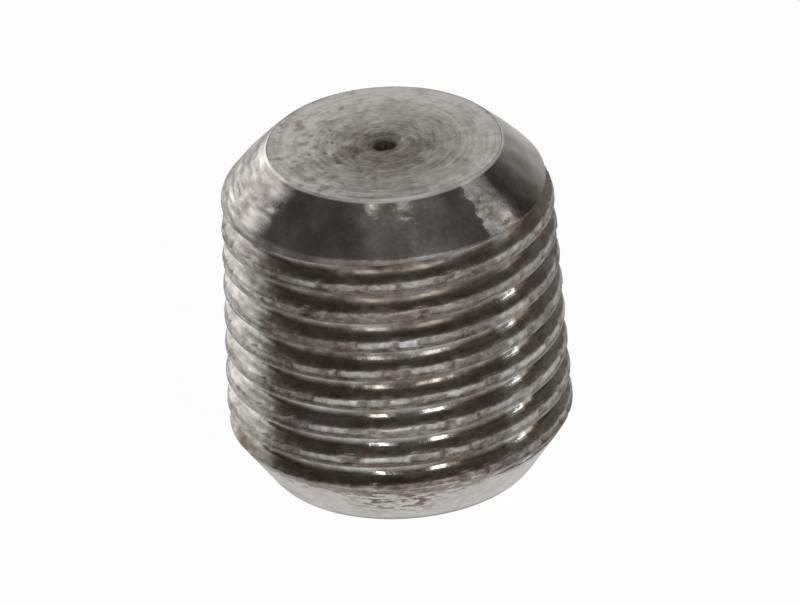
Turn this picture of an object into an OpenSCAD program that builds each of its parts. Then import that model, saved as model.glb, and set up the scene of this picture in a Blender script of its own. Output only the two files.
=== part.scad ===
// Conical screw plug with a taper pipe thread and a hexagon socket. One turned piece, in mm.
// The large end stands on z = 0 with the socket opening downward, and the axis is +Z.

/* [Blank] */

// Length over both end faces (mm)
length = 10; // [8:0.1:14]
// Diameter of the small end face (mm)
small_face_diameter = 6.6; // [5.6:0.1:7.6]
// Height of the chamfer at the small end (mm)
small_chamfer_height = 1.45; // [0.8:0.05:2]
// Height of the crown that the small end's chamfer has over a straight one (mm)
small_chamfer_crown = 0.05; // [0.02:0.01:0.1]
// Diameter of the large end face (mm)
large_face_diameter = 7.6; // [7.2:0.1:8.6]
// Height of the chamfer at the large end (mm)
large_chamfer_height = 1.6; // [0.8:0.1:2]

/* [Taper thread] */

// Thread pitch, 28 threads to the inch (mm)
pitch = 0.907; // [0.8:0.001:1.2]
// Growth of the diameter along the axis, one part in this many
taper_ratio = 16; // [12:1:30]
// Diameter over the crests in the gauge plane (mm)
gauge_diameter = 9.52; // [9.2:0.01:10]
// Distance of the gauge plane from the small end (mm)
gauge_length = 4; // [3:0.1:5]
// Included angle between the two flanks (degrees)
flank_angle = 55; // [50:1:65]
// Width of the flat left on each crest (mm)
crest_flat = 0.34; // [0.2:0.01:0.4]
// Width of the flat at each root (mm)
root_flat = 0.15; // [0.1:0.01:0.2]

/* [Hexagon socket] */

// Width across the flats of the key (mm)
key_width = 5; // [4:0.1:5.5]
// Depth of the flat sided part of the socket (mm)
socket_depth = 4.5; // [2:0.1:6]
// Diameter of the countersink at the socket mouth (mm)
mouth_diameter = 6; // [5.8:0.1:6.8]
// Included angle of the countersink and of the drilled socket bottom (degrees)
drill_angle = 120; // [90:1:140]

/* [Centre mark] */

// Diameter of the shallow dish in the middle of the small end (mm)
dish_diameter = 1.5; // [1:0.1:2.5]
// Depth of the dish (mm)
dish_depth = 0.1; // [0.05:0.01:0.3]
// Diameter of the centre pip inside the dish (mm)
pip_diameter = 0.65; // [0.3:0.05:0.9]
// Depth of the pip below the dish (mm)
pip_depth = 0.4; // [0.2:0.05:1]

/* [Hidden] */

steel = [0.36, 0.35, 0.34];
// Flat sides along each turn of the thread
turn_steps = 60;
// Fineness of the round surfaces
round_steps = 120;
// Extra length that a cutting shape has beyond the face it opens
overlap = 0.5;

// Radius over the crests at height z
function crest_radius(z) = (gauge_diameter + (length - gauge_length - z) / taper_ratio) / 2;

// One pitch of the thread form as [height, depth below the crests], up from a crest's lower edge
flank_height = (pitch - crest_flat - root_flat) / 2;
thread_depth = flank_height / tan(flank_angle / 2);
thread_form = [
    [0, 0],
    [crest_flat, 0],
    [crest_flat + flank_height, thread_depth],
    [pitch - flank_height, thread_depth]
];

// The thread starts a turn below the large end and runs out past the small end
first_turn = -1;
turns = ceil(length / pitch) + 2;

// Point k of the thread form, carried step by step up the right-hand helix
function thread_point(step, k) =
    let (
        angle = 360 * step / turn_steps,
        z = pitch * (first_turn + step / turn_steps) - crest_flat / 2 + thread_form[k][0],
        r = crest_radius(z) - thread_form[k][1]
    )
    [r * cos(angle), r * sin(angle), z];

plug();

module plug() {
    color(steel)
    difference() {
        intersection() {
            threaded_bar();
            blank();
        }
        hexagon_socket();
        centre_mark();
    }
}

// Bar with one right-hand start, longer than the blank that trims it
module threaded_bar() {
    count = len(thread_form);
    last = turns * turn_steps;
    top_turn = last - turn_steps;
    side_points = [for (step = [0:last]) for (k = [0:count - 1]) thread_point(step, k)];
    bottom = len(side_points);
    top = bottom + 1;
    caps = [[0, 0, pitch * (first_turn + 0.5)], [0, 0, pitch * (first_turn + turns + 0.5)]];

    // Strips between neighbouring points of one pitch of the form
    form_strips = [
        for (step = [0:last - 1]) for (k = [0:count - 2])
            let (a = step * count + k, b = a + count)
            for (face = [[a, a + 1, b + 1], [a, b + 1, b]]) face
    ];
    // Strips from the last point of the form to its first point one turn above
    turn_strips = [
        for (step = [0:top_turn - 1])
            let (a = step * count + count - 1, b = a + count, c = (step + turn_steps) * count)
            for (face = [[a, c, c + count], [a, c + count, b]]) face
    ];
    bottom_ramp = [for (step = [0:turn_steps - 1]) [bottom, step * count, (step + 1) * count]];
    bottom_step = [for (k = [0:count - 2]) [bottom, k + 1, k]];
    top_ramp = [
        for (step = [top_turn:last - 1])
            [top, (step + 1) * count + count - 1, step * count + count - 1]
    ];
    top_step = [for (k = [0:count - 2]) [top, last * count + k, last * count + k + 1]];

    polyhedron(
        points = concat(side_points, caps),
        faces = concat(
            form_strips, turn_strips,
            bottom_ramp, bottom_step, [[bottom, turn_steps * count, count - 1]],
            top_ramp, top_step, [[top, top_turn * count + count - 1, last * count]]
        )
    );
}

// The two chamfers and end faces, standing clear of the thread between them
module blank() {
    small_face_r = small_face_diameter / 2;
    small_edge_r = crest_radius(length - small_chamfer_height);
    large_face_r = large_face_diameter / 2;
    large_edge_r = crest_radius(large_chamfer_height);
    large_slope = (large_edge_r - large_face_r) / large_chamfer_height;
    middle = length / 2;
    middle_r = large_face_r + large_slope * middle;

    // The crown is an arc through both edges of the small end's chamfer
    run = small_edge_r - small_face_r;
    half_chord = norm([run, small_chamfer_height]) / 2;
    crown_r = (pow(half_chord, 2) + pow(small_chamfer_crown, 2)) / (2 * small_chamfer_crown);
    inset = crown_r - small_chamfer_crown;
    crown_centre = [
        (small_edge_r + small_face_r) / 2 - inset * small_chamfer_height / (2 * half_chord),
        length - small_chamfer_height / 2 - inset * run / (2 * half_chord)
    ];

    rotate_extrude($fn = round_steps)
    intersection() {
        polygon([
            [0, 0],
            [large_face_r, 0],
            [middle_r, middle],
            [middle_r, length],
            [0, length]
        ]);
        translate(crown_centre)
        circle(r = crown_r, $fn = 2 * round_steps);
    }
}

module hexagon_socket() {
    corner_r = key_width / 2 / cos(30);
    drill_r = key_width / 2;
    mouth_r = mouth_diameter / 2;
    spread = tan(drill_angle / 2);
    translate([0, 0, -overlap])
    cylinder(h = overlap + socket_depth, r = corner_r, $fn = 6);
    translate([0, 0, socket_depth])
    cylinder(h = drill_r / spread, r1 = drill_r, r2 = 0, $fn = round_steps);
    translate([0, 0, -overlap])
    cylinder(h = overlap + mouth_r / spread, r1 = mouth_r + overlap * spread, r2 = 0, $fn = round_steps);
}

module centre_mark() {
    translate([0, 0, length])
    rotate_extrude($fn = round_steps)
    polygon([
        [0, -dish_depth - pip_depth],
        [pip_diameter / 2, -dish_depth],
        [dish_diameter / 2, 0],
        [dish_diameter / 2, overlap],
        [0, overlap]
    ]);
}
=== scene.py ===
import math
import random

import bmesh
import bpy
import numpy as np
from mathutils import Matrix, Vector, noise


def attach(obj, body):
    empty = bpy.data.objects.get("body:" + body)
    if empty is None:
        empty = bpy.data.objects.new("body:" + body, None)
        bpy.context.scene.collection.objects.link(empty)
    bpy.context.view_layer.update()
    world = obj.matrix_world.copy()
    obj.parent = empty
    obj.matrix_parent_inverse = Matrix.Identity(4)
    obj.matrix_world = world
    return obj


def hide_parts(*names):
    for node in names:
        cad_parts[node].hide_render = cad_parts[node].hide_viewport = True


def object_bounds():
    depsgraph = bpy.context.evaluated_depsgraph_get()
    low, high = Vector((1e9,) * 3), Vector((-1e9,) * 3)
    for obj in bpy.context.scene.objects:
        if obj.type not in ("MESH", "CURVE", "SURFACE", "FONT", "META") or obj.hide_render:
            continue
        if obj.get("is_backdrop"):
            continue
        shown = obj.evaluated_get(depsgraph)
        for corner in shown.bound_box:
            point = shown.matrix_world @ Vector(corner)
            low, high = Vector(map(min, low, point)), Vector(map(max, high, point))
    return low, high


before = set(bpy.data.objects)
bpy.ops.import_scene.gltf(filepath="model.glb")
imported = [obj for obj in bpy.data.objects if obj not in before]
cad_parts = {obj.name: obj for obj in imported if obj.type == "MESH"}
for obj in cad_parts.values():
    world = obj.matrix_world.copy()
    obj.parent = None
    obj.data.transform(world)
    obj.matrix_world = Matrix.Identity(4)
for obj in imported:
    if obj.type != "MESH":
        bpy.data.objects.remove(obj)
cad_low, cad_high = (tuple(corner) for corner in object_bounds())


# --- The turned blank -------------------------------------------------------------------------
# A short steel bar, faced and chamfered on a lathe, which stands on its large end. The small
# end's face keeps the tool's arcs, a shallow dish and the centre's pip. Years in a box of
# hardware have left gouges on the small end's crowned chamfer, and pits on its face.

MM = 0.001
length = cad_high[2] / MM
small_face_r = 3.3
small_chamfer = 1.45
small_crown = 0.05
large_face_r = 3.8
large_chamfer = 1.6
taper = 16
gauge_diameter = 9.52
gauge_length = 4.0
dish_r = 0.75
dish_deep = 0.06
pip_r = 0.37
pip_deep = 0.3
skim = 0.002
around = 280
chance = random.Random(11)


def smooth(t):
    """Eases from 0 at t = 0 to 1 at t = 1."""
    return t * t * (3 - 2 * t)


def crest_radius(z):
    """Radius over the thread's crests at a height above the large end."""
    return (gauge_diameter + (length - gauge_length - z) / taper) / 2


chamfer_low = np.array([crest_radius(length - small_chamfer), length - small_chamfer])
chamfer_high = np.array([small_face_r, length])
chamfer_half = (chamfer_high - chamfer_low) / 2
chamfer_out = np.array([chamfer_half[1], -chamfer_half[0]]) / np.linalg.norm(chamfer_half)


def chamfer_point(t):
    """The point (r, z) of the crowned chamfer from t = -1 at the thread to 1 at the face."""
    crown = chamfer_out * small_crown * (1 - t * t)
    return (chamfer_low + chamfer_high) / 2 + chamfer_half * t + crown


def turned_face():
    """Points (r, z) of the small end face, from its worn rim to the bottom of the pip."""
    points = [(small_face_r + 0.014, length - 0.034), (small_face_r - 0.008, length - 0.010)]
    for r in np.linspace(small_face_r - 0.04, dish_r, 42):
        points.append((r, length - skim))
    for r in np.linspace(dish_r, pip_r, 7)[1:]:
        t = (dish_r - r) / (dish_r - pip_r)
        points.append((r, length - skim - dish_deep * smooth(t)))
    for t in (0.04, 0.1, 0.17, 0.25, 0.36, 0.5, 0.72, 0.9):
        points.append((pip_r * (1 - t), length - dish_deep - pip_deep * smooth(t) ** 0.7))
    return points + [(0, length - dish_deep - pip_deep)]


def solid(name, verts, faces):
    """A mesh object from points in millimetres."""
    mesh = bpy.data.meshes.new(name)
    mesh.from_pydata([tuple(float(c) * MM for c in v) for v in verts], [], faces)
    mesh.validate()
    piece = bpy.data.objects.new(name, mesh)
    bpy.context.collection.objects.link(piece)
    return piece


def lathe(profile, name, handwork=None):
    """A closed solid from a profile that starts and ends on the axis."""
    verts, rows = [], []
    for r, z in profile:
        if r == 0:
            rows.append([len(verts)] * around)
            verts.append((0, 0, z))
            continue
        rows.append(list(range(len(verts), len(verts) + around)))
        for i in range(around):
            a = 2 * math.pi * i / around
            verts.append((r * math.cos(a), r * math.sin(a), z))
    faces = []
    for low, high in zip(rows, rows[1:]):
        for i in range(around):
            n = (i + 1) % around
            corners = [low[i], low[n], high[n], high[i]]
            faces.append([v for k, v in enumerate(corners) if v not in corners[:k]])
    verts = np.array(verts)
    if handwork:
        handwork(verts)
    return solid(name, verts, faces)


def gouge(azimuth, t, slant, long, wide, deep):
    """A short groove in the small chamfer: its place, the ways it runs and sinks, its sizes."""
    a = math.radians(azimuth - 90)
    r, z = chamfer_point(t)
    outward = np.array([math.cos(a), math.sin(a), 0])
    normal = outward * chamfer_out[0] + np.array([0, 0, chamfer_out[1]])
    sideways = np.array([-math.sin(a), math.cos(a), 0])
    upward = np.cross(normal, sideways)
    run = sideways * math.cos(math.radians(slant)) + upward * math.sin(math.radians(slant))
    return outward * r + np.array([0, 0, z]), run, -normal, long, wide, deep


def pit(azimuth, r, slant, long, wide, deep):
    """A small pit in the small end face."""
    a, way = math.radians(azimuth - 90), math.radians(azimuth + slant)
    centre = np.array([r * math.cos(a), r * math.sin(a), length])
    run = np.array([math.cos(way), math.sin(way), 0])
    return centre, run, np.array([0, 0, -1.0]), long, wide, deep


def gouge_some(count, azimuth, *spans):
    """Gouges round the chamfer. The spans are those of t, slant, length, width and depth."""
    return [gouge(azimuth(), *(chance.uniform(*span) for span in spans)) for i in range(count)]


def pit_some(count, draw, share, azimuth, slant, *spans):
    """Pits over a share of the face's area. The spans are those of length, width and depth."""
    marks = []
    for i in range(count):
        r = small_face_r * math.sqrt(draw.uniform(*share))
        marks.append(pit(azimuth(i), r, draw.gauss(0, slant), *(draw.uniform(*span) for span in spans)))
    return marks


def anywhere_or_left(i):
    """Every second pit lies anywhere round the face, and the others mostly on the left."""
    return chance.uniform(-180, 180) if i % 2 else chance.gauss(-75, 45)


# A knocked patch at the front right, the long gouges on the left, and a few all round.
gouges = gouge_some(46, lambda: chance.gauss(43, 4.5),
                    (-1.0, 0.95), (-60, 60), (0.05, 0.16), (0.035, 0.06), (0.003, 0.012))
gouges += gouge_some(70, lambda: chance.uniform(-120, -56),
                     (-1.0, 0.7), (-24, 4), (0.12, 0.42), (0.035, 0.08), (0.008, 0.026))
gouges += gouge_some(40, lambda: chance.uniform(-180, 180),
                     (-1, 0.9), (-90, 90), (0.05, 0.25), (0.035, 0.06), (0.002, 0.007))
pits = pit_some(70, chance, (0.05, 0.98), anywhere_or_left, 30, (0.02, 0.15), (0.025, 0.055), (0.003, 0.02))
spots = random.Random(5)
pits += pit_some(34, spots, (0.12, 0.97), lambda i: spots.gauss(-70, 38), 40,
                 (0.03, 0.08), (0.035, 0.07), (0.006, 0.022))


def sunk(verts, marks):
    """How deep the marks reach at each point."""
    deep = np.zeros(len(verts))
    for centre, run, into, long, wide, depth in marks:
        away = verts - centre
        near = np.flatnonzero((np.abs(away) < long * 2 + wide * 3).all(axis=1))
        along = away[near] @ run
        across = (away[near] ** 2).sum(axis=1) - along ** 2
        deep[near] += depth * np.exp(-across / wide ** 2 - (along / long) ** 4)
    return deep


def worn(verts):
    """Cuts the facing tool's arcs, bends the pip, and cuts the gouges and pits."""
    r = np.hypot(verts[:, 0], verts[:, 1])
    arc_deep, arcs_a_mm, bent_by = 0.006, 7.5, 0.2
    for i in np.flatnonzero((verts[:, 2] > length - 2 * skim) & (r > 0.7)):
        x, y = verts[i, :2] / r[i]
        swirl = noise.noise(Vector((r[i] * arcs_a_mm, x * 2.0, y * 2.0)))
        verts[i, 2] -= arc_deep * (0.55 + swirl)
    for i in np.flatnonzero((verts[:, 2] > length - 0.5) & (r > 0) & (r < 0.5)):
        x, y = verts[i, :2] / r[i]
        verts[i, :2] *= 1 + bent_by * noise.noise(Vector((x * 1.3, y * 1.3, 9)))
    for mark in gouges + pits:
        into = mark[2]
        verts += sunk(verts, [mark])[:, None] * into


def rounded(start, corner, end, t):
    """A point on the curve from start to end that the corner between them pulls round."""
    return start * (1 - t) ** 2 + corner * 2 * t * (1 - t) + end * t * t


# The blank is the outline that will trim the thread. Its large cone goes on, clear of the
# crests, and at the other end a rounded shoulder leads from the crests into the chamfer.
clear = 2.0
large_slope = (crest_radius(large_chamfer) - large_face_r) / large_chamfer
shoulder_z = length - 1.58
shoulder_r = crest_radius(shoulder_z) + 0.004
shoulder_t, rim_t = -0.80, 0.985

blank_profile = [(0, 0), (large_face_r * 0.8, 0), (large_face_r - 0.03, 0), (large_face_r, 0.03)]
for z in np.linspace(0, large_chamfer + clear, 24)[1:]:
    blank_profile.append((large_face_r + large_slope * z, z))
blank_profile.append((shoulder_r + 0.03, shoulder_z - 0.2))
shoulder = np.array([shoulder_r, shoulder_z])
for t in np.linspace(0, 1, 8)[:-1]:
    blank_profile.append(tuple(rounded(shoulder, chamfer_low, chamfer_point(shoulder_t), t)))
for t in np.linspace(shoulder_t, rim_t, 36):
    blank_profile.append(tuple(chamfer_point(t)))
blank_profile += turned_face()
blank = lathe(blank_profile, "blank", worn)


# --- The rolled taper thread ------------------------------------------------------------------
# Right-hand, 28 threads to the inch. Rolling leaves a rounded root and a crest where two lips
# close over, with a seam between them: the upper lip leans back, and is chipped into dashes.

pitch = 0.907
flank = 27.5
crest_flat = 0.34
groove_deep = 0.4
lower_lip_r = 0.012
upper_lip_r = 0.10
seam_at = 0.095
first_turn = -1
turns = math.ceil(length / pitch) + 2
steps = turns * around + 1


def arc(centre, radius, start, end, count, lip=0):
    """Points (height, depth, lip) on a rounding, by the angle in degrees that its outward
    normal rises. A negative radius makes a hollow."""
    points = []
    for a in np.linspace(math.radians(start), math.radians(end), count):
        points.append((centre[0] + radius * math.sin(a), centre[1] - radius * math.cos(a), lip))
    return points


def straight(start, end):
    """Two points on the flank between the ends of two roundings."""
    points = []
    for t in (0.33, 0.67):
        points.append((start[0] + (end[0] - start[0]) * t, start[1] + (end[1] - start[1]) * t, 0))
    return points


def thread_form():
    """One pitch of the form as (height, depth, lip), up from a crest's lower edge. The lip is
    -1 on the lower one, 1 on the upper one and 0 on the rest."""
    steep = 90 - flank

    # The small lower lip, the seam, and the upper lip, which leans back into a wide rounding.
    seam_half, seam_deep, lean_back = 0.016, 0.018, 12
    crest = arc((lower_lip_r * 1.05, lower_lip_r), lower_lip_r, -steep, 0, 3, -1)
    crest += [(seam_at - seam_half, 0.004, -1), (seam_at, seam_deep, 0), (seam_at + seam_half, 0.002, 1)]
    crest.append((0.18, 0.018, 1))
    upper = (0.234, 0.033 + upper_lip_r * math.cos(math.radians(lean_back)))
    crest += arc(upper, upper_lip_r, lean_back, steep, 5, 1)

    # The root is a wide hollow that tightens where it turns up into the next crest.
    wide_r, tight_r, meet = 0.29, 0.05, -5
    leave, meet_at = math.radians(steep), math.radians(meet)
    start = crest[-1]
    fall = groove_deep - wide_r * (1 - math.cos(leave)) - start[1]
    run = fall * math.tan(math.radians(flank)) + wide_r * math.sin(leave)
    centre = (start[0] + run, groove_deep - wide_r)
    root = arc(centre, -wide_r, steep, meet, 8)
    apart = wide_r - tight_r
    centre = (centre[0] - apart * math.sin(meet_at), centre[1] + apart * math.cos(meet_at))
    root += arc(centre, -tight_r, meet, -steep, 6)[1:]
    next_crest = (crest[0][0] + pitch, crest[0][1])
    return crest + straight(start, root[0]) + root + straight(root[-1], next_crest)


def dashes(shortest, longest):
    """How far a lip is chipped, how far it is rubbed, and where the rubbed band starts, at each
    step round the helix."""
    chip, rubbed, edge = np.zeros(steps), np.zeros(steps), np.full(steps, 0.3)
    at = 0
    while at < steps:
        run = chance.randint(shortest, longest)
        low = min(abs(chance.gauss(0, 0.010)), 0.03)
        tilt = chance.gauss(0, 0.008)
        bright = chance.uniform(0.35, 0.85)
        start = chance.uniform(0.10, 0.19)
        for i in range(at, min(at + run, steps)):
            chip[i] = low + tilt * ((i - at) / run - 0.5)
            rubbed[i] = bright * chance.uniform(0.8, 1.1)
            edge[i] = start + chance.uniform(-0.012, 0.012)
        gap = chance.choice((1, 1, 2, 2, 3, 5)) if chance.random() < 0.8 else 0
        for i in range(at + run, min(at + run + gap, steps)):
            chip[i] = low + chance.uniform(0.02, 0.05)
            rubbed[i] = 0.1
        at += run + gap
    return np.clip(chip, 0, 0.075), rubbed, edge


form = np.array(thread_form())
upper_chip, upper_rubbed, upper_from = dashes(4, 12)
lower_chip, lower_rubbed, _ = dashes(5, 26)
ripples = []
for i in range(16):
    ripples.append((chance.randint(4, 60), chance.uniform(-9, 9), chance.uniform(0, 6.28),
                    chance.uniform(0.0008, 0.0022)))


def rippled(angle, z):
    """The slight unevenness of a rolled surface, in millimetres."""
    return sum(high * np.sin(waves * angle + rise * z + phase) for waves, rise, phase, high in ripples)


# One column of points for each step round the helix. The upper lip's edge is ragged, and the
# groove fades out into the large end's chamfer.
ragged = []
for i in range(steps):
    ragged.append(0.018 * (noise.noise(Vector((i * 0.23, 0, 0))) + 0.6 * chance.gauss(0, 0.5)))
fade_from, fade_over = 1.05, 0.5
step = np.arange(steps)[:, None]
angle = 2 * math.pi * step / around
height, depth, lip = (form[:, k][None, :] for k in range(3))
height = height + np.array(ragged)[:, None] * ((lip > 0) & (height > seam_at * 1.3))
z = pitch * (first_turn + step / around) - crest_flat / 2 + height
depth = depth * smooth(np.clip((z - fade_from) / fade_over, 0, 1))
chip = np.where(lip > 0, upper_chip[:, None], np.where(lip < 0, lower_chip[:, None] * 0.6, 0))
r = crest_radius(z) - depth - chip - np.abs(rippled(angle, z)) * np.where(lip == 0, 1, 0.5)
verts = np.stack([r * np.cos(angle), r * np.sin(angle), z + 0 * r], axis=-1).reshape(-1, 3)
verts = [tuple(v) for v in verts]

# The strips between neighbouring columns and turns, and a cap at each end of the helix.
faces = []
count = len(form)
for i in range(steps - 1):
    for k in range(count - 1):
        a = i * count + k
        faces.append((a, a + count, a + count + 1, a + 1))
for i in range(steps - 1 - around):
    a = i * count + count - 1
    c = (i + around) * count
    faces.append((a, a + count, c + count, c))
bottom, top = len(verts), len(verts) + 1
verts += [(0, 0, pitch * (first_turn + 0.5)), (0, 0, pitch * (first_turn + turns + 0.5))]
last = steps - 1
top_turn = last - around
for i in range(around):
    faces.append((bottom, (i + 1) * count, i * count))
    a = (top_turn + i) * count + count - 1
    faces.append((top, a, a + count))
for k in range(count - 1):
    faces.append((bottom, k, k + 1))
    faces.append((top, last * count + k + 1, last * count + k))
faces.append((bottom, count - 1, around * count))
faces.append((top, last * count, top_turn * count + count - 1))
plug = solid("plug_steel", verts, faces)


def combine(piece, tool, how):
    """Keeps what the two solids share, or cuts the tool away, and deletes the tool."""
    cut = piece.modifiers.new("cut", "BOOLEAN")
    cut.operation = how
    cut.solver = "MANIFOLD"
    cut.object = tool
    shaped = bpy.data.meshes.new_from_object(piece.evaluated_get(bpy.context.evaluated_depsgraph_get()))
    piece.modifiers.clear()
    piece.data = shaped
    bpy.data.objects.remove(tool)


combine(plug, blank, "INTERSECT")


# --- The hexagon socket -----------------------------------------------------------------------
# Pressed for a 5 mm key into a drilled and countersunk hole in the large end. It can't be
# seen while the plug stands on that end.

drill_r = 2.5
socket_deep = 4.5
mouth_r = 3.0
spread = math.tan(math.radians(60))
overlap = 0.5

corner_r = drill_r / math.cos(math.pi / 6)
corners = [(corner_r * math.cos(math.pi / 3 * i), corner_r * math.sin(math.pi / 3 * i)) for i in range(6)]
verts = [(x, y, -overlap) for x, y in corners] + [(x, y, socket_deep) for x, y in corners]
faces = [tuple(range(5, -1, -1)), tuple(range(6, 12))]
faces += [(i, (i + 1) % 6, (i + 1) % 6 + 6, i + 6) for i in range(6)]
combine(plug, solid("hexagon", verts, faces), "DIFFERENCE")
drill_low = socket_deep - 0.2
drill = [(0, drill_low), (drill_r, drill_low), (drill_r, socket_deep), (0, socket_deep + drill_r / spread)]
combine(plug, lathe(drill, "drill"), "DIFFERENCE")
countersink = [(0, -overlap), (mouth_r + overlap * spread, -overlap), (0, mouth_r / spread)]
combine(plug, lathe(countersink, "countersink"), "DIFFERENCE")

mesh = plug.data
speck_size = 0.0005 * MM
build = bmesh.new()
build.from_mesh(mesh)
bmesh.ops.remove_doubles(build, verts=build.verts, dist=speck_size)
bmesh.ops.dissolve_degenerate(build, dist=speck_size, edges=build.edges)
build.to_mesh(mesh)
build.free()
for polygon in mesh.polygons:
    polygon.use_smooth = True
mesh.set_sharp_from_angle(angle=math.radians(32))


# --- The finish of the steel ------------------------------------------------------------------
# Bare turned steel on the ends. On the thread a dark film of old oil and oxide lies on the
# flanks, the chipped lips are rubbed grey, and a little rust has started in the grooves.

points = np.empty(len(mesh.vertices) * 3)
mesh.vertices.foreach_get("co", points)
points = points.reshape(-1, 3) / MM
z = points[:, 2]
r = np.hypot(points[:, 0], points[:, 1])
theta = np.arctan2(points[:, 1], points[:, 0])
azimuth = np.degrees(theta) + 90
azimuth = np.where(azimuth > 180, azimuth - 360, azimuth)

# How high each point lies above the lower edge of its crest, and its step along the helix.
turn_at = z / pitch - theta / (2 * math.pi)
whole = np.round(turn_at - crest_flat / 2 / pitch)
height = (turn_at - whole) * pitch + crest_flat / 2
along = np.clip(np.round((theta / (2 * math.pi) + whole - first_turn) * around), 0, steps - 1).astype(int)

# The surface that each point is on.
turned = [(at, radius) for radius, at in blank_profile if at <= length - 0.05 and radius > 3]
blank_r = np.interp(z, [at for at, radius in turned], [radius for at, radius in turned])
on_small = (z > shoulder_z) & (np.abs(r - blank_r) < 0.045)
on_face = (z > length - 0.045) & (r < small_face_r + 0.01)
on_rim = (z > length - 0.06) & (r > small_face_r - 0.05)
in_dish = (z > length - 0.55) & (r < 0.8)
in_pip = (r < 0.45) & (z > length - 0.6) & (z < length - 0.03)
on_large = np.abs(r - large_face_r - large_slope * z) < 0.012
below = (z < 0.02) | ((r < mouth_r + 0.05) & (z < socket_deep + 1.6))
ends = on_small | on_face | on_large | below

# How far the thread is rubbed: 0 is the dark film and 1 is bright metal. The stops go up one
# pitch, over the lips, down the upper flank, through the root and up the next lower flank.
stops = [(-0.03, 0.27), (0.01, 0.31), (0.03, 0.28), (0.08, 0.23), (0.25, 0.23), (0.275, 0.28), (0.36, 0.28),
         (0.57, 0.25), (0.62, 0.46), (0.65, 0.64), (0.72, 0.64), (0.80, 0.35), (0.9, 0.30)]
thread_wear_and_painted_light = np.interp(height, [at for at, level in stops], [level for at, level in stops])
root_line = np.interp(height, [0.50, 0.60, 0.72, 0.78], [0, 1, 1, 0])
uneven = []
for i in range(steps):
    uneven.append(noise.noise(Vector((i * 0.035, 7, 0))) + 0.7 * noise.noise(Vector((i * 0.21, 3, 0))))
thread_wear_and_painted_light *= 1 + 0.9 * root_line * np.array(uneven)[along]
thread_wear_and_painted_light *= np.where(root_line > 0, np.interp(z, [3.0, 7.5], [1.0, 0.66]), 1.0)
upper = (height > upper_from[along]) & (height < 0.268)
lower = (height > -0.02) & (height < 0.26) & ~upper
thread_wear_and_painted_light = np.where(upper, 0.78 * upper_rubbed[along], thread_wear_and_painted_light)
thread_wear_and_painted_light = np.where(lower, thread_wear_and_painted_light * (0.6 + 0.7 * lower_rubbed[along]), thread_wear_and_painted_light)

# The left side is lighter all over, partly rubbed steel and partly painted light from the
# window. The right side's crests are painted lighter, painted light from the right strip, and a
# stripe down the grooves at the front right is painted lighter: a painted highlight, where the
# right strip also shines on smoother steel.
ragged_side = np.array([noise.noise(Vector((0, 0, v * 2.2))) for v in z]) * 5
on_crest = np.interp(height, [-0.02, 0.0, 0.28, 0.32], [0, 1, 1, 0])
left_wear_and_painted_light = np.interp(azimuth + ragged_side, [-150, -125, -56, -49], [0, 1, 1, 0])
right_painted_light = np.interp(azimuth + ragged_side, [30, 40, 49, 51, 58, 100], [0, 1, 1, 0.8, 0.9, 1.0])
painted_highlight_stripe = np.interp(azimuth + 0.3 * ragged_side, [39.5, 42, 49, 50], [0, 1, 1, 0])
painted_highlight_stripe *= np.interp(height, [0.36, 0.42, 0.76, 0.80], [0, 1, 1, 0]) * np.interp(z, [6.9, 7.5], [1, 0.25])
# The left side is lifted partly by wear and partly by painted light from the window.
thread_wear_and_painted_light += left_wear_and_painted_light * (0.52 - 0.40 * thread_wear_and_painted_light)
# The right side's crests are painted lighter: painted light from the right strip.
thread_wear_and_painted_light += 0.24 * right_painted_light * on_crest
# The stripe is painted lighter: a painted highlight where the right strip also shines.
thread_wear_and_painted_light += painted_highlight_stripe * (0.80 - thread_wear_and_painted_light)
thread_wear_and_painted_light *= np.interp(z, [2.5, 8.0], [1.0, 0.88])
thread_wear_and_painted_light *= np.where(z < large_chamfer + 0.22, 0.6, 1.0)
thread_wear_and_painted_light = np.where(z < large_chamfer - 0.03, 0.5, thread_wear_and_painted_light)

# The face is painted darker in its middle and at its front: painted shade for the dark room it
# reflects there. The small chamfer is dull where it meets the thread, painted darker on its right
# as painted shade, and scuffed in a patch at its front right.
face_painted_shade = np.interp(np.hypot(points[:, 0] - 0.15, points[:, 1] + 0.5), [0.7, 3.5], [1, 0])
face_tone_painted_shade = 1.0 - 0.68 * face_painted_shade - np.interp(points[:, 1], [-3.0, -1.7], [0.17, 0])
# The pip is painted darker the deeper it goes: painted shade in the hollow.
pip_painted_shade = np.interp(z, [length - 0.15, length - 0.055], [-0.1, 0.34])
shoulder_dull = np.interp(z, [length - 1.33, length - 1.22], [1, 0]) * (1 - 0.85 * left_wear_and_painted_light)
# The right of the small chamfer is painted darker: painted shade.
right_painted_shade = np.interp(azimuth, [52, 57, 76, 90], [0, 0.11, 0.11, 0])
small_wear_and_painted_light = 0.46 - 0.22 * shoulder_dull + 0.10 * left_wear_and_painted_light - right_painted_shade
scuffed = np.interp(np.abs(azimuth - 42.5), [1.5, 7.5], [1, 0])
halo = np.interp(np.abs(azimuth - 49), [2, 6], [0.12, 0])

# How dull each point is, as a roughness.
low_down = np.interp(z, [2.5, 7.5], [1, 0.25])
in_root = np.interp(height, [0.42, 0.50, 0.72, 0.78], [0, 1, 1, 0])
thread_dull = 0.40 + 0.10 * on_crest - 0.26 * in_root * low_down
thread_dull += painted_highlight_stripe * (0.14 - thread_dull)
small_dull = 0.15 + 0.48 * shoulder_dull + 0.16 * left_wear_and_painted_light + halo

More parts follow.
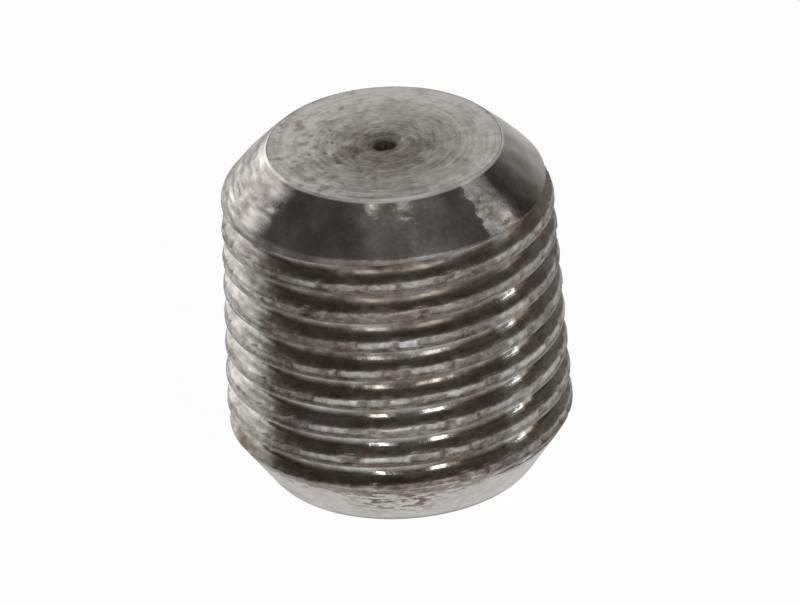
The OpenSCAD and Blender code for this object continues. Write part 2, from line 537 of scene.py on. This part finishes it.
finish = {
    "rubbed": np.select([on_rim, in_pip, below, on_large, on_face | in_dish, on_small],
                        [0.90, pip_painted_shade, 0.6, 0.93, face_tone_painted_shade, small_wear_and_painted_light], thread_wear_and_painted_light),
    "dull": np.select([below & ~on_large & ~on_face, on_large, in_pip, on_rim, on_face, on_small],
                      [0.34, 0.42, 0.7, 0.44, 0.38, small_dull], thread_dull),
    "dirt": np.clip(np.clip(sunk(points, pits) / 0.012, 0, 1) * 0.75
                    + np.clip(sunk(points, gouges) / 0.03, 0, 1) * 0.35, 0, 1),
    "thread": ~ends,
    "lip": on_crest * ~ends,
    "side": left_wear_and_painted_light,
    "face": on_face,
    "small": on_small,
    "scuffed": scuffed * on_small,
    "foot": on_large,
}
for name, values in finish.items():
    layer = mesh.attributes.new(name, "FLOAT", "POINT")
    layer.data.foreach_set("value", values.astype(np.float32))


class Wire:
    """An output of a shader node. Python's operators on wires add Math nodes."""

    def __init__(self, tree, socket=None):
        self.tree = tree
        self.socket = socket

    def node(self, kind, settings=None, sockets=None, out=0):
        """Adds a node: first its settings, then a value or a wire for each socket named."""
        made = self.tree.nodes.new("ShaderNode" + kind)
        for name, value in (settings or {}).items():
            if name == "stops":
                elements = made.color_ramp.elements
                while len(elements) < len(value):
                    elements.new(0.5)
                for element, (at, shade) in zip(elements, value):
                    element.position = at
                for element, (at, shade) in zip(elements, value):
                    element.color = (*shade, 1)
            else:
                setattr(made, name, value)
        for name, value in (sockets or {}).items():
            if isinstance(value, Wire):
                self.tree.links.new(value.socket, made.inputs[name])
            else:
                made.inputs[name].default_value = value
        return Wire(self.tree, made.outputs[out])

    def maths(self, operation, *values):
        """A Math node on wires or numbers."""
        return self.node("Math", {"operation": operation}, dict(enumerate(values)))

    def __add__(self, other):
        return self.maths("ADD", self, other)

    def __radd__(self, other):
        return self.maths("ADD", other, self)

    def __sub__(self, other):
        return self.maths("SUBTRACT", self, other)

    def __rsub__(self, other):
        return self.maths("SUBTRACT", other, self)

    def __mul__(self, other):
        return self.maths("MULTIPLY", self, other)

    def __rmul__(self, other):
        return self.maths("MULTIPLY", other, self)

    def between(self, low, high):
        """Rises smoothly from 0 at low to 1 at high."""
        settings = {"interpolation_type": "SMOOTHSTEP"}
        return self.node("MapRange", settings, {"Value": self, "From Min": low, "From Max": high})

    def ramp(self, *stops):
        """A colour from stops (place, colour) along this wire."""
        return self.node("ValToRGB", {"stops": stops}, {"Fac": self})

    def blend(self, low, high):
        """A colour from low to high as this wire goes from 0 to 1."""
        return self.node("Mix", {"data_type": "RGBA"}, {0: self, 6: low, 7: high}, out=2)

    def parts(self):
        """The x, y and z of a vector."""
        return [self.node("SeparateXYZ", {}, {0: self}, out=i) for i in range(3)]

    def vector_maths(self, operation, other, out=0):
        """A Vector Math node on two vectors."""
        return self.node("VectorMath", {"operation": operation}, {0: self, 1: other}, out)

    def speckle(self, size, detail=3, stretch=(1, 1, 1)):
        """Noise about 0 to 1 over a place, with features of a size in millimetres."""
        scaled = self.vector_maths("MULTIPLY", stretch)
        return self.node("TexNoise", {}, {"Vector": scaled, "Scale": 1 / (size * MM), "Detail": detail})


def colour(r, g, b):
    """An opaque colour."""
    return (r, g, b, 1)


steel = bpy.data.materials.new("steel")
steel.use_nodes = True
wire = Wire(steel.node_tree)
place = wire.node("TexCoord", out=3)
x, y, up = place.parts()
rubbed, dull, dirt, thread, lip, side, face, small, scuffed, foot = (
    wire.node("Attribute", {"attribute_name": name}, out=2) for name in finish)

# Mottling of several sizes, each about -0.5 to 0.5. The last is the facing tool's arcs.
fine = place.speckle(0.09, 4) - 0.5
rough_spots = place.speckle(0.26, 3, (1, 1, 2.2)) - 0.5
cloudy = place.speckle(0.9, 3) - 0.5
streaky = place.speckle(0.35, 4, (1, 1, 3.5)) - 0.5
strokes = place.speckle(1.3, 3, (1, 1, 8)) - 0.5
blotchy = place.speckle(0.8, 5, (1, 1, 0.7)) - 0.5
out_from = wire.maths("SQRT", x * x + y * y)
round_x, round_y = wire.maths("DIVIDE", x, out_from), wire.maths("DIVIDE", y, out_from)
ring_at = wire.node("CombineXYZ", {}, {0: round_x * 2.4, 1: round_y * 2.4, 2: out_from * 9500})
arcs = wire.node("TexNoise", {}, {"Vector": ring_at, "Scale": 1.0, "Detail": 4}) - 0.5

# The level runs from the dark film at 0, over dull steel, to bright rubbed steel at 1. It also
# carries the painted light and painted shade that the finish sets.
scuff = (scuffed + rough_spots * 1.2).between(0.35, 0.75) * scuffed.between(0.0, 0.2)
level = rubbed + scuff * (0.16 + fine * 0.5 + rough_spots * 1.1)
level = level + fine * (0.20 + 0.14 * lip)
level = level + rough_spots * (0.16 * thread + 0.36 * lip + 0.60 * face + 0.35 * foot)
level = level + cloudy * (0.16 + 0.20 * thread + 0.30 * foot + 0.25 * face)
level = level + streaky * (0.25 * thread + 0.30 * foot + 0.30 * side)
level = level + strokes * 1.2 * side + blotchy * 0.75 * small + arcs * 0.70 * face
base = level.ramp((0, (0.062, 0.047, 0.035)), (0.20, (0.150, 0.120, 0.095)), (0.38, (0.240, 0.217, 0.190)),
                  (0.65, (0.43, 0.408, 0.373)), (1, (0.69, 0.662, 0.61)))

# Rust where the thread isn't rubbed, stains on the face, film and brown specks on the large
# end's chamfer, and dirt in the pits and gouges.
front = (0 - y).between(0.0015, 0.0035) * x.between(-0.0020, -0.0008) * (1 - x.between(0.0004, 0.0014))
rust = place.speckle(0.75, 5).between(0.56, 0.70) * place.speckle(0.5, 4, (1, 1, 4)).between(0.42, 0.6)
rust = rust * thread * (0.42 - rubbed).between(0.0, 0.16) * (0.2 + 0.5 * front)
stain = place.speckle(0.42, 5).between(0.50, 0.70) * face * (0.35 + 0.5 * (0.0005 - x).between(0, 0.0025))
film = (streaky + up.between(0.0008, 0.0019) * 0.55).between(0.16, 0.34) * foot * 0.75
brown = place.speckle(0.28, 4, (1, 1, 2.5)).between(0.45, 0.58) * foot * up.between(0.0002, 0.0009)
brown = brown * (0.05 + 0.95 * front)
speck = dirt.between(0.10, 0.95) * 0.66
base = rust.blend(base, colour(0.135, 0.082, 0.052))
base = stain.blend(base, colour(0.29, 0.235, 0.19))
base = film.blend(base, colour(0.17, 0.145, 0.12))
base = brown.blend(base, colour(0.20, 0.148, 0.11))
base = speck.blend(base, colour(0.16, 0.125, 0.098))
rough = dull + fine * 0.12 + rust * 0.3 + speck * 0.2 + scuff * 0.26
grain = fine * 0.5 + place.speckle(0.035, 2) * 0.5
bump = wire.node("Bump", {}, {"Strength": 0.5, "Distance": 0.006 * MM, "Height": grain})

shader = steel.node_tree.nodes["Principled BSDF"]
sources = {"Base Color": base, "Roughness": rough, "Metallic": 1 - rust * 0.75, "Normal": bump}
for name, source in sources.items():
    steel.node_tree.links.new(source.socket, shader.inputs[name])
mesh.materials.clear()
mesh.materials.append(steel)
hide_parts("plug")
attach(plug, "root")


# --- The table --------------------------------------------------------------------------------
# A wide sheet of white paper under the plug. It shows almost pure white and keeps the plug's
# faint shadow, and in the steel it is about half as bright.

half = 0.6 / MM
corners = [(-half, -half), (half, -half), (half, half), (-half, half)]
floor = solid("floor", [(x, y, -0.02) for x, y in corners], [(0, 1, 2, 3)])
floor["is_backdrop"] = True
paper = bpy.data.materials.new("paper")
paper.use_nodes = True
paper.node_tree.nodes.clear()
wire = Wire(paper.node_tree)
to_camera, to_steel, through = (wire.node("LightPath", out=out) for out in (0, 3, 6))
seen = (to_camera + through) * 0.96 + to_steel * 0.45
lit = wire.node("BsdfDiffuse", {}, {"Color": colour(0.9, 0.9, 0.9)})
glow = wire.node("Emission", {}, {"Color": colour(1, 1, 1)})
surface = wire.node("MixShader", {}, {0: seen, 1: lit, 2: glow})
output = paper.node_tree.nodes.new("ShaderNodeOutputMaterial")
paper.node_tree.links.new(surface.socket, output.inputs[0])
floor.data.materials.append(paper)


# --- The studio -------------------------------------------------------------------------------
# A dim room, paler low down, ahead and behind, with a large window at the left towards the
# back, a tall strip and a panel on the right, two tubes above, and two strips in front that
# make the short bright dashes in the thread's grooves.


def toward(azimuth, elevation):
    """The way to a place round the plug. Azimuth 0 is in front, and 90 on the right."""
    a, e = math.radians(azimuth), math.radians(elevation)
    return Vector((math.sin(a) * math.cos(e), -math.cos(a) * math.cos(e), math.sin(e)))


world = bpy.data.worlds.new("studio")
bpy.context.scene.world = world
world.use_nodes = True
world.node_tree.nodes.clear()
wire = Wire(world.node_tree)
way = wire.node("TexCoord", out=0)
x, y, up = way.parts()
ahead = (0 - y).between(-0.1, 0.5) * (1 - up.between(0.25, 0.55)) * 0.42
behind = y.between(0.45, 0.85) * (1 - up.between(0.66, 0.88)) * 0.62
horizon = (1 - up.between(0.02, 0.16)) * 0.35
overhead = up.between(0.92, 0.99) * 0.34
front_panel = way.vector_maths("DOT_PRODUCT", toward(22, 58), out=1).between(0.84, 0.97) * 0.13
right_panel = x.between(-0.15, 0.25) * up.between(0.88, 0.96) * 0.13
bright = wire.maths("MAXIMUM", horizon + overhead, behind) + ahead + front_panel + right_panel + 0.075
to_camera, to_steel, through = (wire.node("LightPath", out=out) for out in (0, 3, 6))
shown = to_camera + through + to_steel * 0.06
grey = shown.blend(bright.ramp((0, (0, 0, 0)), (1, (1, 1, 1))), colour(1, 1, 1))
sky = wire.node("Background", {}, {"Color": grey})
output = world.node_tree.nodes.new("ShaderNodeOutputWorld")
world.node_tree.links.new(sky.socket, output.inputs[0])

lamps_away = 0.5
cool = (0.82, 0.90, 1)


def softbox(name, azimuth, elevation, size, level, tint=(1, 1, 1)):
    """A square lamp that faces the plug."""
    place = toward(azimuth, elevation) * lamps_away
    lamp = bpy.data.lights.new(name, "AREA")
    lamp.shape = "RECTANGLE"
    lamp.size, lamp.size_y = size
    lamp.energy = level * math.pi * size[0] * size[1]
    lamp.color = tint
    item = bpy.data.objects.new(name, lamp)
    item.location = place
    item.rotation_euler = (-place).to_track_quat("-Z", "Y").to_euler()
    bpy.context.collection.objects.link(item)
    return item


# The window and the tall strip stand upright on the table, and the window is moved along itself.
window_azimuth = -143.1
window_way = math.radians(window_azimuth)
window = softbox("window", window_azimuth, 0, (0.44, 0.562), 1.25)
window.location += Vector((math.cos(window_way), math.sin(window_way), 0)) * 0.10 + Vector((0, 0, 0.281))
strip = softbox("right strip", 94, 0, (0.10, 0.36), 2.6)
strip.location.z = 0.18
softbox("upper right panel", 112, 47, (0.18, 0.08), 1.2)
softbox("left tube", -26, 70, (0.014, 0.06), 8.0)
softbox("right tube", 24, 70, (0.018, 0.07), 6.0)
softbox("front left strip", -17, 24, (0.030, 0.30), 27.0, cool)
softbox("front right strip", 24, 24, (0.066, 0.30), 16.0, cool)


# --- The camera -------------------------------------------------------------------------------
# Far off with a long lens, a little above the plug and rolled slightly. The plug's middle is a
# few pixels off the middle of the picture.

camera_data = bpy.data.cameras.new("camera")
camera_data.lens = 747.9
camera_data.clip_start = 0.01
camera = bpy.data.objects.new("camera", camera_data)
bpy.context.collection.objects.link(camera)
elevation, roll, distance = math.radians(29.27), math.radians(-3.60), 0.468
picture_wide, pixels_right, pixels_up = 800, 6.3, -4.6
aim = Vector((0, 0, length / 2 * MM))
back_to = Vector((0, -math.cos(elevation), math.sin(elevation)))
turn = back_to.to_track_quat("Z", "Y") @ Matrix.Rotation(roll, 3, "Z").to_quaternion()
pixel = distance * camera_data.sensor_width / camera_data.lens / picture_wide
camera.location = aim + back_to * distance + turn @ Vector((pixels_right * pixel, pixels_up * pixel, 0))
camera.rotation_euler = turn.to_euler()
bpy.context.scene.camera = camera
bpy.context.scene.view_settings.view_transform = "Standard"
